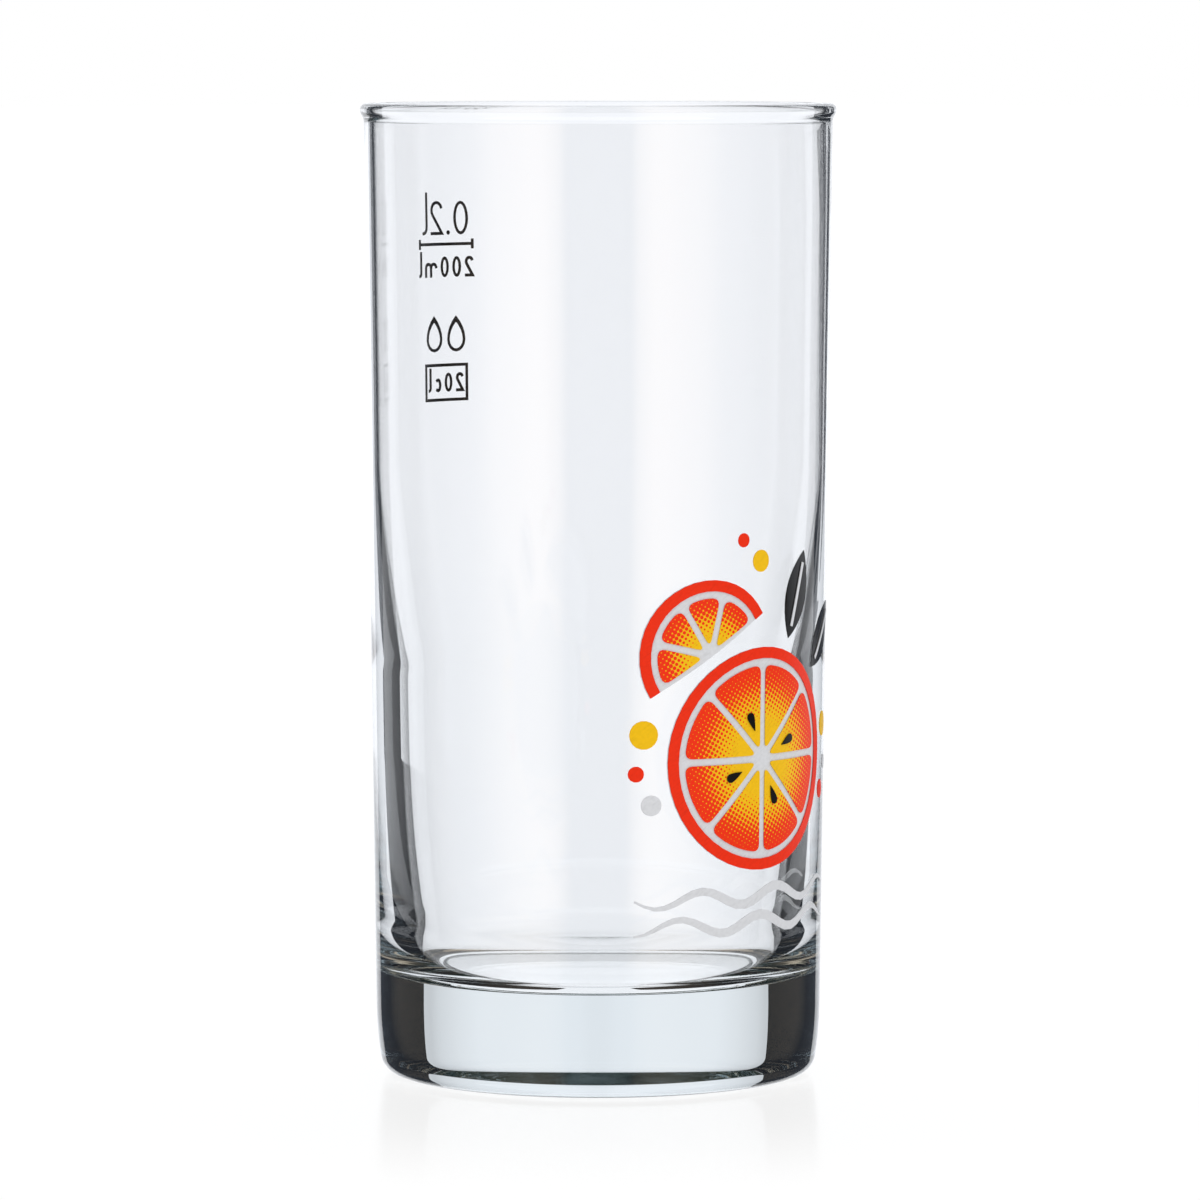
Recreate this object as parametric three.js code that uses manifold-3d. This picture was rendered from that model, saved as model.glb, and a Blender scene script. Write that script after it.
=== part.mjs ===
// Highball glass: a straight, heavy-based soft-drink glass with a gauged fill mark and a fired enamel
// print. Millimetres, +Z up. The origin is the middle of the foot, on the table.
// The print faces -Y and the fill mark faces +Y.

import * as THREE from 'three';
import { mergeVertices } from 'three/addons/utils/BufferGeometryUtils.js';
import Module from 'manifold-3d';

const { degToRad, lerp } = THREE.MathUtils;

// What the glass holds
const FILL_CAPACITY_ML = 200;    // held up to the fill line
const HEADSPACE = 18.5;          // fill line to rim crest

// Outside of the glass
const FOOT_DIAMETER = 56.5;      // outside taper carried down to the table
const WALL_LEAN_DEG = 0.72;      // outside taper, off upright
const HEEL_TOP = 8.9;            // height where the heel starts to draw in
const HEEL_LEAN_DEG = 8.6;       // draw of the heel where it turns under, off upright
const HEEL_ROUND = 2.4;          // radius of the turn onto the bearing ring
const BEARING_RING_WIDTH = 1.1;  // flat ring that stands on the table
const RECESS_RUN = 1.4;          // slope from the bearing ring into the recess under the base
const RECESS_DEPTH = 0.28;

// Fire-polished rim
const RIM_BEAD_BULGE = 0.45;     // how far the bead stands out of the wall
const RIM_BEAD_HEIGHT = 2.4;     // from the foot of the bead to the crest
const RIM_ROUND_OUTSIDE = 0.75;  // crest down to the widest part of the bead
const RIM_ROUND_INSIDE = 0.4;    // crest down to the inner wall
const RIM_CREST_OFFSET = 0.9;    // crest outwards from the inner wall

// Inside of the glass
const WALL_UPPER = 1.25;         // thin wall above the shoulder
const WALL_LOWER = 3.7;          // wall under the shoulder
const WALL_FLOOR = 4.85;         // wall where the floor fillet starts
const SHOULDER_BOTTOM = 52.5;    // height where the wall has thickened to WALL_LOWER
const SHOULDER_RISE = 25;        // height over which it thins to WALL_UPPER
const SHOULDER_POWER = 1.3;      // how late the wall thickens down the shoulder
const FLARE_POWER = 3;           // how late it thickens from there to the floor
const FLOOR_THICKNESS = 12.5;
const FLOOR_FILLET_WIDTH = 4.2;
const FLOOR_FILLET_HEIGHT = 6.9;

// Enamel films
const FILM_THICKNESS = 0.1;
const FILM_SEAT = 0.05;          // gap under each film, to the glass or to the film below it

// Citrus wheel, at the middle of the print
const WHEEL_HEIGHT = 42.1;       // its centre above the table
const WHEEL_RADIUS = 14;
const WHEEL_SEGMENTS = 8;
const WHEEL_PIPS = 4;
const PIP_LENGTH = 2.5;
const PIP_WIDTH = 1.1;
const PIP_OFFSET = 3.8;          // wheel centre to the point of a pip

// Parts of a cut fruit
const RIND_WIDTH = 1.4;
const PITH_WIDTH = 0.9;          // between the rind and the segments
const MEMBRANE = 0.9;            // between two segments
const SEGMENT_ROUND = 1.0;       // rounding of a segment's corners

// Half slice, leaves, bubbles and waves around the wheel
const PRINT_GAP = 1.6;           // clear glass between the wheel and what stands round it
const SLICE_RADIUS = 9.5;
const SLICE_SEGMENTS = 4;
const SLICE_DIRECTION_DEG = 122;
const LEAF_LENGTH = 11.5;
const LEAF_WIDTH = 4.8;
const LEAF_DIRECTIONS_DEG = [43, 71];
const VEIN_WIDTH = 0.5;
const VEIN_MARGIN = 1.6;         // bare leaf before and after the vein
const WAVE_LENGTH = 12;
const WAVE_RISE = 1.0;           // crest above the middle of the wave
const WAVE_STROKE = 1.2;
const WAVE_SPACING = 3.4;
const WAVE_COUNT = 2;
const WAVE_SPAN = 36;            // length of a wave line along the wall
const BRUSH_POWER = 0.6;         // how fast a brush stroke widens from its ends
const BRUSH_TIP = 0.2;           // its width at the ends, as a share of the full width

// Bubbles: direction from the wheel's centre, clear glass to the wheel, radius, enamel
const BUBBLES = [
  { direction: 168, gap: 1.6, radius: 1.8, enamel: 'yellow' },
  { direction: 184, gap: 3.0, radius: 1.0, enamel: 'red' },
  { direction: 198, gap: 1.5, radius: 1.3, enamel: 'silver' },
  { direction: 10, gap: 1.8, radius: 1.6, enamel: 'yellow' },
  { direction: -6, gap: 3.8, radius: 0.9, enamel: 'silver' },
  { direction: -18, gap: 1.6, radius: 1.2, enamel: 'red' },
  { direction: 91, gap: 9.4, radius: 1.4, enamel: 'yellow' },
  { direction: 97, gap: 12.8, radius: 0.9, enamel: 'red' },
];

// Fill mark
const MARK_STROKE = 0.4;
const POINT_WIDTH = 0.6;
const LINE_LENGTH = 10.5;
const TICK_HEIGHT = 1.3;         // stop at each end of the fill line
const LITRE_GAP = 1.2;           // fill line to the litre figures above it
const LITRE_HEIGHT = 4.5;
const SMALL_GAP = 1.6;           // fill line to the millilitre figures below it
const SMALL_HEIGHT = 2.7;
const DROP_GAP = 5.0;            // millilitre figures to the pair of drops
const DROP_HEIGHT = 4.7;
const DROP_WIDTH = 3.2;
const DROP_SPACING = 1.0;
const FRAME_GAP = 1.5;           // drops to the framed centilitre figures
const FRAME_LENGTH = 8.2;
const FRAME_HEIGHT = 4.9;
const FRAME_FIGURE_HEIGHT = 2.5;
const FIGURE_SPACING = 0.7;

// Proportions of the figures, as shares of a row's figure height
const ZERO_WIDTH = 0.56;
const TWO_WIDTH = 0.54;
const LITRE_RISE = 1.25;
const LITRE_FOOT = 0.24;
const MILLI_ARCH = 0.2;
const LETTER_RISE = 0.72;        // of the letters without a stem
const CENTI_WIDTH = 0.52;

// Turns of the figures' strokes, in degrees
const TWO_HOOK = 165;
const TWO_NECK = -35;
const CENTI_MOUTH = 45;

// Facets
const WALL_FACETS = 72;
const CURVE_STEPS = 4;
const SHOULDER_STEPS = 8;
const FLARE_STEPS = 6;
const OUTLINE_STEPS = 4;
const LEAF_STEPS = 12;
const ARC_ERROR = 0.03;          // how far a round outline's facets may cut inside it
const STROKE_STEPS = 5;
const WAVE_STEPS = 28;
const VOLUME_STEP = 0.1;         // slice height when the contents are summed
const WELD = 1e-5;

const FRONT = -1;
const BACK = 1;

const MATERIALS = {
  glass: finish(0xdfe8e4, 0.03, 0.35),
  silver: finish(0xdcdde0, 0.3, 1),
  yellow: finish(0xf4c010, 0.25, 1),
  red: finish(0xf03010, 0.25, 1),
  black: finish(0x141414, 0.2, 1),
  mark: finish(0x1a1f2b, 0.25, 1),
};

const wasm = await Module();
wasm.setup();

function finish(color, roughness, opacity) {
  return new THREE.MeshStandardMaterial({
    color, roughness, metalness: 0, opacity, transparent: opacity < 1,
  });
}

// Glass body

const wallSlope = Math.tan(degToRad(WALL_LEAN_DEG));
const filletTop = FLOOR_THICKNESS + FLOOR_FILLET_HEIGHT;
const shoulderTop = SHOULDER_BOTTOM + SHOULDER_RISE;
const fillLevel = levelHolding(FILL_CAPACITY_ML * 1000);
const height = fillLevel + HEADSPACE;
const beadFoot = height - RIM_BEAD_HEIGHT;
const beadWidest = height - RIM_ROUND_OUTSIDE;

function outerRadius(z) {
  return FOOT_DIAMETER / 2 + wallSlope * z;
}

function wallThickness(z) {
  if (z < SHOULDER_BOTTOM) {
    const below = (SHOULDER_BOTTOM - z) / (SHOULDER_BOTTOM - filletTop);
    return lerp(WALL_LOWER, WALL_FLOOR, below ** FLARE_POWER);
  }
  const below = Math.max((shoulderTop - z) / SHOULDER_RISE, 0);
  return lerp(WALL_UPPER, WALL_LOWER, below ** SHOULDER_POWER);
}

function innerRadius(z) {
  if (z >= filletTop) {
    return outerRadius(z) - wallThickness(z);
  }
  const risen = Math.sqrt((z - FLOOR_THICKNESS) / FLOOR_FILLET_HEIGHT);
  return innerRadius(filletTop) - FLOOR_FILLET_WIDTH * (1 - risen) ** 2;
}

// Height that a drink of this volume, in cubic millimetres, reaches above the table
function levelHolding(volume) {
  let level = FLOOR_THICKNESS;
  let remaining = volume;
  while (remaining > 0) {
    const area = Math.PI * innerRadius(level + VOLUME_STEP / 2) ** 2;
    const rise = Math.min(VOLUME_STEP, remaining / area);
    level += rise;
    remaining -= area * rise;
  }
  return level;
}

function glassProfile() {
  const profile = new THREE.Path();
  addFoot(profile);
  addRim(profile);
  addBowl(profile);
  return profile.getPoints(CURVE_STEPS);
}

// Recess, bearing ring and heel, from the axis out and up to where the straight wall starts
function addFoot(profile) {
  const lean = degToRad(HEEL_LEAN_DEG);
  const turnTop = HEEL_ROUND * (1 - Math.sin(lean));
  const middle = (turnTop + HEEL_TOP) / 2;
  const turnRadius = outerRadius(middle) - Math.tan(lean) * (middle - turnTop);
  const ringOuter = turnRadius - HEEL_ROUND * Math.cos(lean);
  const ringInner = ringOuter - BEARING_RING_WIDTH;

  profile.moveTo(0, RECESS_DEPTH);
  profile.lineTo(ringInner - RECESS_RUN, RECESS_DEPTH);
  profile.quadraticCurveTo(ringInner, RECESS_DEPTH, ringInner, 0);
  profile.lineTo(ringOuter, 0);
  profile.absarc(ringOuter, HEEL_ROUND, HEEL_ROUND, -Math.PI / 2, -lean, false);
  profile.quadraticCurveTo(outerRadius(middle), middle, outerRadius(HEEL_TOP), HEEL_TOP);
}

// Straight wall and the bead, over the crest and down to the inner wall
function addRim(profile) {
  const wallTop = outerRadius(beadFoot);
  const beadRadius = outerRadius(beadWidest) + RIM_BEAD_BULGE;
  const beadMiddle = (beadFoot + beadWidest) / 2;
  const rimBottom = height - RIM_ROUND_INSIDE;
  const rimInner = innerRadius(rimBottom);
  const crest = rimInner + RIM_CREST_OFFSET;

  profile.lineTo(wallTop, beadFoot);
  profile.bezierCurveTo(wallTop, beadMiddle, beadRadius, beadMiddle, beadRadius, beadWidest);
  profile.absellipse(crest, beadWidest, beadRadius - crest, RIM_ROUND_OUTSIDE, 0, Math.PI / 2, false);
  profile.absellipse(crest, rimBottom, RIM_CREST_OFFSET, RIM_ROUND_INSIDE, Math.PI / 2, Math.PI, false);
}

// Inner wall down to the floor and in to the axis
function addBowl(profile) {
  for (let step = 0; step <= SHOULDER_STEPS; step += 1) {
    const z = lerp(shoulderTop, SHOULDER_BOTTOM, step / SHOULDER_STEPS);
    profile.lineTo(innerRadius(z), z);
  }
  for (let step = 1; step <= FLARE_STEPS; step += 1) {
    const z = lerp(SHOULDER_BOTTOM, filletTop, step / FLARE_STEPS);
    profile.lineTo(innerRadius(z), z);
  }
  const wallFoot = innerRadius(filletTop);
  const floorEdge = wallFoot - FLOOR_FILLET_WIDTH;
  profile.quadraticCurveTo(wallFoot, FLOOR_THICKNESS, floorEdge, FLOOR_THICKNESS);
  profile.lineTo(0, FLOOR_THICKNESS);
}

// Turns a profile of radius and height about the glass's axis
function turned(points) {
  return new THREE.LatheGeometry(points, WALL_FACETS).rotateX(Math.PI / 2);
}

function glassBody() {
  const body = new THREE.Mesh(turned(glassProfile()), MATERIALS.glass);
  body.name = 'glass_body';
  return body;
}

// Enamel films: each is the stretch of a thin shell round the wall that lies behind its outlines.
// An outline is drawn flat, as length along the wall and height above the table.

function solidOf(geometry) {
  geometry.deleteAttribute('normal');
  geometry.deleteAttribute('uv');
  const welded = mergeVertices(geometry, WELD);
  return new wasm.Manifold(new wasm.Mesh({
    numProp: 3,
    vertProperties: Float32Array.from(welded.attributes.position.array),
    triVerts: Uint32Array.from(welded.index.array),
  }));
}

function geometryOf(solid) {
  const { vertProperties, triVerts } = solid.getMesh();
  const geometry = new THREE.BufferGeometry();
  geometry.setAttribute('position', new THREE.BufferAttribute(vertProperties, 3));
  geometry.setIndex(new THREE.BufferAttribute(triVerts, 1));
  geometry.computeVertexNormals();
  return geometry;
}

function filmShell(layer) {
  const inside = FILM_SEAT + layer * (FILM_THICKNESS + FILM_SEAT);
  const outside = inside + FILM_THICKNESS;
  const corners = [
    [HEEL_TOP, inside], [HEEL_TOP, outside], [beadFoot, outside], [beadFoot, inside], [HEEL_TOP, inside],
  ];
  return solidOf(turned(corners.map(([z, offset]) => new THREE.Vector2(outerRadius(z) + offset, z))));
}

// Carries a flat outline out through one side of the wall, its lengths kept true along the wall
function wallPrism(outline, face) {
  const depth = outerRadius(height) + RIM_BEAD_BULGE;
  const prism = new THREE.ExtrudeGeometry(outline, { depth, bevelEnabled: false });
  const place = prism.attributes.position;
  for (let i = 0; i < place.count; i += 1) {
    const z = place.getY(i);
    const radius = outerRadius(z);
    place.setXYZ(i, -face * radius * Math.sin(place.getX(i) / radius), face * place.getZ(i), z);
  }
  return solidOf(prism);
}

function film(name, outlines, enamel, face, layer = 0) {
  const cutter = outlines.map((outline) => wallPrism(outline, face)).reduce((all, next) => all.add(next));
  const mesh = new THREE.Mesh(geometryOf(filmShell(layer).intersect(cutter)), MATERIALS[enamel]);
  mesh.name = name;
  return mesh;
}

// Outlines

function polar(direction, distance) {
  return new THREE.Vector2(Math.cos(direction), Math.sin(direction)).multiplyScalar(distance);
}

// Steps for a round outline of this radius; an arc takes two facets a step
function roundSteps(radius) {
  return Math.ceil(Math.PI / Math.acos(1 - ARC_ERROR / radius) / 2);
}

// Turns an outline about its own origin and then moves it to its place
function placed(outline, place, turn = 0, steps = OUTLINE_STEPS) {
  const move = (point) => point.rotateAround(new THREE.Vector2(), turn).add(place);
  const shape = new THREE.Shape(outline.getPoints(steps).map(move));
  shape.holes = outline.holes.map((hole) => new THREE.Path(hole.getPoints(steps).map(move)));
  return shape;
}

function disc(radius) {
  return new THREE.Shape().absarc(0, 0, radius, 0, 2 * Math.PI, false);
}

function ring(outer, inner) {
  const shape = disc(outer);
  shape.holes.push(new THREE.Path().absarc(0, 0, inner, 0, 2 * Math.PI, true));
  return shape;
}

function oval(width, tall, stroke) {
  const shape = new THREE.Shape().absellipse(0, 0, width / 2, tall / 2, 0, 2 * Math.PI, false);
  const hole = new THREE.Path();
  hole.absellipse(0, 0, width / 2 - stroke, tall / 2 - stroke, 0, 2 * Math.PI, true);
  shape.holes.push(hole);
  return shape;
}

// Half of a disc or ring, its arc towards +X
function halfRing(outer, inner) {
  const shape = new THREE.Shape().absarc(0, 0, outer, -Math.PI / 2, Math.PI / 2, false);
  if (inner > 0) {
    shape.absarc(0, 0, inner, Math.PI / 2, -Math.PI / 2, true);
  }
  return shape;
}

// Fruit segment along +X, with half a membrane left bare beside it and rounded corners
function segment(radius, halfAngle) {
  const bare = MEMBRANE / 2;
  const side = (along, sign) => new THREE.Vector2(
    along * Math.cos(halfAngle) + bare * Math.sin(halfAngle),
    sign * (along * Math.sin(halfAngle) - bare * Math.cos(halfAngle)),
  );
  const start = bare / Math.tan(halfAngle);
  const end = Math.sqrt(radius * radius - bare * bare);
  const corner = side(end, 1);
  const arcEnd = corner.angle() - SEGMENT_ROUND / radius;

  const shape = new THREE.Shape();
  shape.moveTo(...side(start + SEGMENT_ROUND, -1));
  shape.lineTo(...side(end - SEGMENT_ROUND, -1));
  shape.quadraticCurveTo(...side(end, -1), ...polar(-arcEnd, radius));
  shape.absarc(0, 0, radius, -arcEnd, arcEnd, false);
  shape.quadraticCurveTo(...corner, ...side(end - SEGMENT_ROUND, 1));
  shape.lineTo(...side(start + SEGMENT_ROUND, 1));
  shape.quadraticCurveTo(...side(start, 1), ...side(start + SEGMENT_ROUND, -1));
  return shape;
}

// Pointed leaf from the origin along +X
function leaf(length, width) {
  const shape = new THREE.Shape();
  shape.quadraticCurveTo(length / 2, -width, length, 0);
  shape.quadraticCurveTo(length / 2, width, 0, 0);
  return shape;
}

// Drop from its point at the origin along +X
function drop(length, width) {
  const radius = width / 2;
  const shape = new THREE.Shape();
  shape.quadraticCurveTo(length - width, -radius, length - radius, -radius);
  shape.absarc(length - radius, 0, radius, -Math.PI / 2, Math.PI / 2, false);
  shape.quadraticCurveTo(length - width, radius, 0, 0);
  return shape;
}

function bar(left, bottom, right, top) {
  return new THREE.Shape([
    new THREE.Vector2(left, bottom), new THREE.Vector2(right, bottom),
    new THREE.Vector2(right, top), new THREE.Vector2(left, top),
  ]);
}

// Outline of a line drawn through points; thin gives its share of the width along the line
function stroke(points, width, thin = () => 1) {
  const last = points.length - 1;
  const left = [];
  const right = [];
  points.forEach((point, i) => {
    const before = point.clone().sub(points[Math.max(i - 1, 0)]).normalize();
    const after = points[Math.min(i + 1, last)].clone().sub(point).normalize();
    const along = before.clone().add(after).normalize();
    const mitre = i === 0 || i === last ? 1 : 1 / along.dot(after);
    const aside = new THREE.Vector2(-along.y, along.x).multiplyScalar(thin(i / last) * mitre * width / 2);
    left.push(point.clone().add(aside));
    right.unshift(point.clone().sub(aside));
  });
  return new THREE.Shape([...left, ...right]);
}

// Plain figures, drawn as strokes from the left end of their base line

const FIGURES = {
  zero: (tall) => {
    const width = ZERO_WIDTH * tall;
    const outline = oval(width, tall, MARK_STROKE);
    const middle = new THREE.Vector2(width / 2, tall / 2);
    return { width, outlines: [placed(outline, middle, 0, roundSteps(tall / 2))] };
  },
  two: (tall) => {
    const width = TWO_WIDTH * tall;
    const bowl = width / 2;
    const line = new THREE.Path();
    line.absarc(bowl, tall - bowl, bowl - MARK_STROKE / 2, degToRad(TWO_HOOK), degToRad(TWO_NECK), true);
    line.lineTo(MARK_STROKE / 2, MARK_STROKE / 2);
    line.lineTo(width, MARK_STROKE / 2);
    return { width, outlines: [stroke(line.getPoints(STROKE_STEPS), MARK_STROKE)] };
  },
  point: () => {
    const radius = POINT_WIDTH / 2;
    return { width: POINT_WIDTH, outlines: [placed(disc(radius), new THREE.Vector2(radius, radius))] };
  },
  litre: (tall) => {
    const foot = LITRE_FOOT * tall;
    const line = new THREE.Path();
    line.moveTo(MARK_STROKE / 2, LITRE_RISE * tall);
    line.lineTo(MARK_STROKE / 2, foot);
    line.quadraticCurveTo(MARK_STROKE / 2, MARK_STROKE / 2, foot, MARK_STROKE / 2);
    return { width: foot, outlines: [stroke(line.getPoints(STROKE_STEPS), MARK_STROKE)] };
  },
  milli: (tall) => {
    const arch = MILLI_ARCH * tall;
    const top = LETTER_RISE * tall - MARK_STROKE / 2;
    const outlines = [0, 1].map((i) => {
      const line = new THREE.Path();
      const foot = MARK_STROKE / 2 + 2 * arch * i;
      line.moveTo(foot, 0);
      line.absarc(foot + arch, top - arch, arch, Math.PI, 0, true);
      line.lineTo(foot + 2 * arch, 0);
      return stroke(line.getPoints(STROKE_STEPS), MARK_STROKE);
    });
    return { width: 4 * arch + MARK_STROKE, outlines };
  },
  centi: (tall) => {
    const across = CENTI_WIDTH * tall / 2;
    const up = LETTER_RISE * tall / 2;
    const mouth = degToRad(CENTI_MOUTH);
    const line = new THREE.Path();
    line.absellipse(
      across, up, across - MARK_STROKE / 2, up - MARK_STROKE / 2, mouth, 2 * Math.PI - mouth, false,
    );
    return { width: 2 * across, outlines: [stroke(line.getPoints(STROKE_STEPS), MARK_STROKE)] };
  },
};

// Sets a row of figures about the middle of the fill mark
function figureRow(row, kinds, tall, baseline) {
  const figures = kinds.map((kind) => FIGURES[kind](tall));
  const length = figures.reduce((sum, figure) => sum + figure.width, FIGURE_SPACING * (kinds.length - 1));
  let left = -length / 2;
  return figures.map((figure, i) => {
    const place = new THREE.Vector2(left, baseline);
    left += figure.width + FIGURE_SPACING;
    const outlines = figure.outlines.map((outline) => placed(outline, place));
    return film(`${row}_${i + 1}_${kinds[i]}`, outlines, 'mark', BACK);
  });
}

function fillMark() {
  const group = new THREE.Group();
  const half = LINE_LENGTH / 2;
  const line = [
    bar(-half, fillLevel - MARK_STROKE / 2, half, fillLevel + MARK_STROKE / 2),
    bar(-half, fillLevel - TICK_HEIGHT / 2, MARK_STROKE - half, fillLevel + TICK_HEIGHT / 2),
    bar(half - MARK_STROKE, fillLevel - TICK_HEIGHT / 2, half, fillLevel + TICK_HEIGHT / 2),
  ];
  group.add(film('fill_line', line, 'mark', BACK));

  const litreBase = fillLevel + LITRE_GAP;
  const smallBase = fillLevel - SMALL_GAP - SMALL_HEIGHT;
  group.add(...figureRow('litres', ['zero', 'point', 'two', 'litre'], LITRE_HEIGHT, litreBase));
  group.add(
    ...figureRow('millilitres', ['two', 'zero', 'zero', 'milli', 'litre'], SMALL_HEIGHT, smallBase),
  );

  const dropTop = smallBase - DROP_GAP;
  for (const [name, side] of [['drop_left', -1], ['drop_right', 1]]) {
    const outline = drop(DROP_HEIGHT, DROP_WIDTH);
    const hollow = drop(DROP_HEIGHT - 3 * MARK_STROKE, DROP_WIDTH - 2 * MARK_STROKE);
    outline.holes.push(placed(hollow, new THREE.Vector2(2 * MARK_STROKE, 0)));
    const place = new THREE.Vector2(side * (DROP_WIDTH + DROP_SPACING) / 2, dropTop);
    group.add(film(name, [placed(outline, place, -Math.PI / 2)], 'mark', BACK));
  }

  const frameTop = dropTop - DROP_HEIGHT - FRAME_GAP;
  const frameBottom = frameTop - FRAME_HEIGHT;
  const frame = bar(-FRAME_LENGTH / 2, frameBottom, FRAME_LENGTH / 2, frameTop);
  frame.holes.push(bar(
    MARK_STROKE - FRAME_LENGTH / 2, frameBottom + MARK_STROKE,
    FRAME_LENGTH / 2 - MARK_STROKE, frameTop - MARK_STROKE,
  ));
  group.add(film('figure_frame', [frame], 'mark', BACK));
  const frameBase = (frameTop + frameBottom - FRAME_FIGURE_HEIGHT) / 2;
  group.add(
    ...figureRow('centilitres', ['two', 'zero', 'centi', 'litre'], FRAME_FIGURE_HEIGHT, frameBase),
  );
  return group;
}

// Print

const wheelCentre = new THREE.Vector2(0, WHEEL_HEIGHT);

// Place outside the wheel's edge, measured from its centre
function aroundWheel(direction, clear) {
  return polar(direction, WHEEL_RADIUS + clear).add(wheelCentre);
}

function citrusWheel() {
  const group = new THREE.Group();
  const step = 2 * Math.PI / WHEEL_SEGMENTS;
  const flesh = WHEEL_RADIUS - RIND_WIDTH - PITH_WIDTH;
  const steps = roundSteps(WHEEL_RADIUS);
  const pith = placed(disc(WHEEL_RADIUS), wheelCentre, 0, steps);
  const rind = placed(ring(WHEEL_RADIUS, WHEEL_RADIUS - RIND_WIDTH), wheelCentre, 0, steps);
  group.add(film('wheel_pith', [pith], 'silver', FRONT));
  group.add(film('wheel_rind', [rind], 'red', FRONT, 1));
  for (let i = 0; i < WHEEL_SEGMENTS; i += 1) {
    const outline = placed(segment(flesh, step / 2), wheelCentre, (i + 0.5) * step);
    group.add(film(`wheel_segment_${i + 1}`, [outline], 'yellow', FRONT, 1));
  }
  for (let i = 0; i < WHEEL_PIPS; i += 1) {
    const direction = (i * WHEEL_SEGMENTS / WHEEL_PIPS + 0.5) * step;
    const place = polar(direction, PIP_OFFSET).add(wheelCentre);
    const outline = placed(drop(PIP_LENGTH, PIP_WIDTH), place, direction);
    group.add(film(`wheel_pip_${i + 1}`, [outline], 'black', FRONT, 2));
  }
  return group;
}

// Half slice, its cut side along the wheel's edge
function citrusSlice() {
  const group = new THREE.Group();
  const direction = degToRad(SLICE_DIRECTION_DEG);
  const centre = aroundWheel(direction, PRINT_GAP);
  const step = Math.PI / SLICE_SEGMENTS;
  const flesh = SLICE_RADIUS - RIND_WIDTH - PITH_WIDTH;
  const steps = Math.ceil(roundSteps(SLICE_RADIUS) / 2);
  const pith = placed(halfRing(SLICE_RADIUS, 0), centre, direction, steps);
  const rind = placed(halfRing(SLICE_RADIUS, SLICE_RADIUS - RIND_WIDTH), centre, direction, steps);
  group.add(film('slice_pith', [pith], 'silver', FRONT));
  group.add(film('slice_rind', [rind], 'red', FRONT, 1));
  for (let i = 0; i < SLICE_SEGMENTS; i += 1) {
    const turn = direction - Math.PI / 2 + (i + 0.5) * step;
    const outline = placed(segment(flesh, step / 2), centre, turn);
    group.add(film(`slice_segment_${i + 1}`, [outline], 'yellow', FRONT, 1));
  }
  return group;
}

function leaves() {
  const group = new THREE.Group();
  const vein = stroke(
    [new THREE.Vector2(VEIN_MARGIN, 0), new THREE.Vector2(LEAF_LENGTH - VEIN_MARGIN, 0)], VEIN_WIDTH,
  );
  LEAF_DIRECTIONS_DEG.map(degToRad).forEach((direction, i) => {
    const base = aroundWheel(direction, PRINT_GAP);
    const blade = placed(leaf(LEAF_LENGTH, LEAF_WIDTH), base, direction, LEAF_STEPS);
    group.add(film(`leaf_${i + 1}`, [blade], 'black', FRONT));
    group.add(film(`leaf_vein_${i + 1}`, [placed(vein, base, direction)], 'silver', FRONT, 1));
  });
  return group;
}

function bubbles() {
  const group = new THREE.Group();
  BUBBLES.forEach(({ direction, gap, radius, enamel }, i) => {
    const centre = aroundWheel(degToRad(direction), gap + radius);
    const outline = placed(disc(radius), centre, 0, roundSteps(radius));
    group.add(film(`bubble_${i + 1}`, [outline], enamel, FRONT));
  });
  return group;
}

// Wave lines under the wheel, thinning to both ends like a brush stroke
function waves() {
  const group = new THREE.Group();
  const top = WHEEL_HEIGHT - WHEEL_RADIUS - PRINT_GAP - WAVE_RISE - WAVE_STROKE / 2;
  const brush = (share) => Math.max(Math.sin(Math.PI * share) ** BRUSH_POWER, BRUSH_TIP);
  for (let row = 0; row < WAVE_COUNT; row += 1) {
    const points = [];
    for (let i = 0; i <= WAVE_STEPS; i += 1) {
      const along = WAVE_SPAN * (i / WAVE_STEPS - 0.5);
      const rise = WAVE_RISE * Math.sin(2 * Math.PI * along / WAVE_LENGTH + row * Math.PI / 2);
      points.push(new THREE.Vector2(along, top - row * WAVE_SPACING + rise));
    }
    group.add(film(`wave_${row + 1}`, [stroke(points, WAVE_STROKE, brush)], 'silver', FRONT));
  }
  return group;
}

const highballGlass = new THREE.Group();
highballGlass.add(glassBody(), citrusWheel(), citrusSlice(), leaves(), bubbles(), waves(), fillMark());

export default highballGlass;
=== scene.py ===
"""Studio scene of the highball glass: clear body, fired enamel print, gauged fill mark and a pale stage."""

import logging
import math
from dataclasses import dataclass, field
from enum import Enum
from typing import Callable, Iterable, Sequence

import bmesh
import bpy
from mathutils import Matrix, Vector


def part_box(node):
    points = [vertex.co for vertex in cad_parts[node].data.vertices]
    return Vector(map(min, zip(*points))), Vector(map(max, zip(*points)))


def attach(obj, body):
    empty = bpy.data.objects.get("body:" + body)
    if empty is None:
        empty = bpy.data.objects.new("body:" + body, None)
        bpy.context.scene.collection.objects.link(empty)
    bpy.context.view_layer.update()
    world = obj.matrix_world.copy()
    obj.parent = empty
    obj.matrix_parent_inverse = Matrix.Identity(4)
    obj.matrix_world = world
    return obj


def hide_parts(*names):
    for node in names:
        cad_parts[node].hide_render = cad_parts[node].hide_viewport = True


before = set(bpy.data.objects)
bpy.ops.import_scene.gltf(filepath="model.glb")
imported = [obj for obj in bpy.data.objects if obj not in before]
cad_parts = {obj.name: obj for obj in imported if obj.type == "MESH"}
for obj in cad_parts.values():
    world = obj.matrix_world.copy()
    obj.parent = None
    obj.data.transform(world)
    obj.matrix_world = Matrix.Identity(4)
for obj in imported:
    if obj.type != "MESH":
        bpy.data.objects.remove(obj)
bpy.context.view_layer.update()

log = logging.getLogger("highball_glass")

# Metres in a millimetre, and the radius in mm under which a profile point counts as on the axis.
MM = 0.001
ON_AXIS = 0.001
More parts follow.
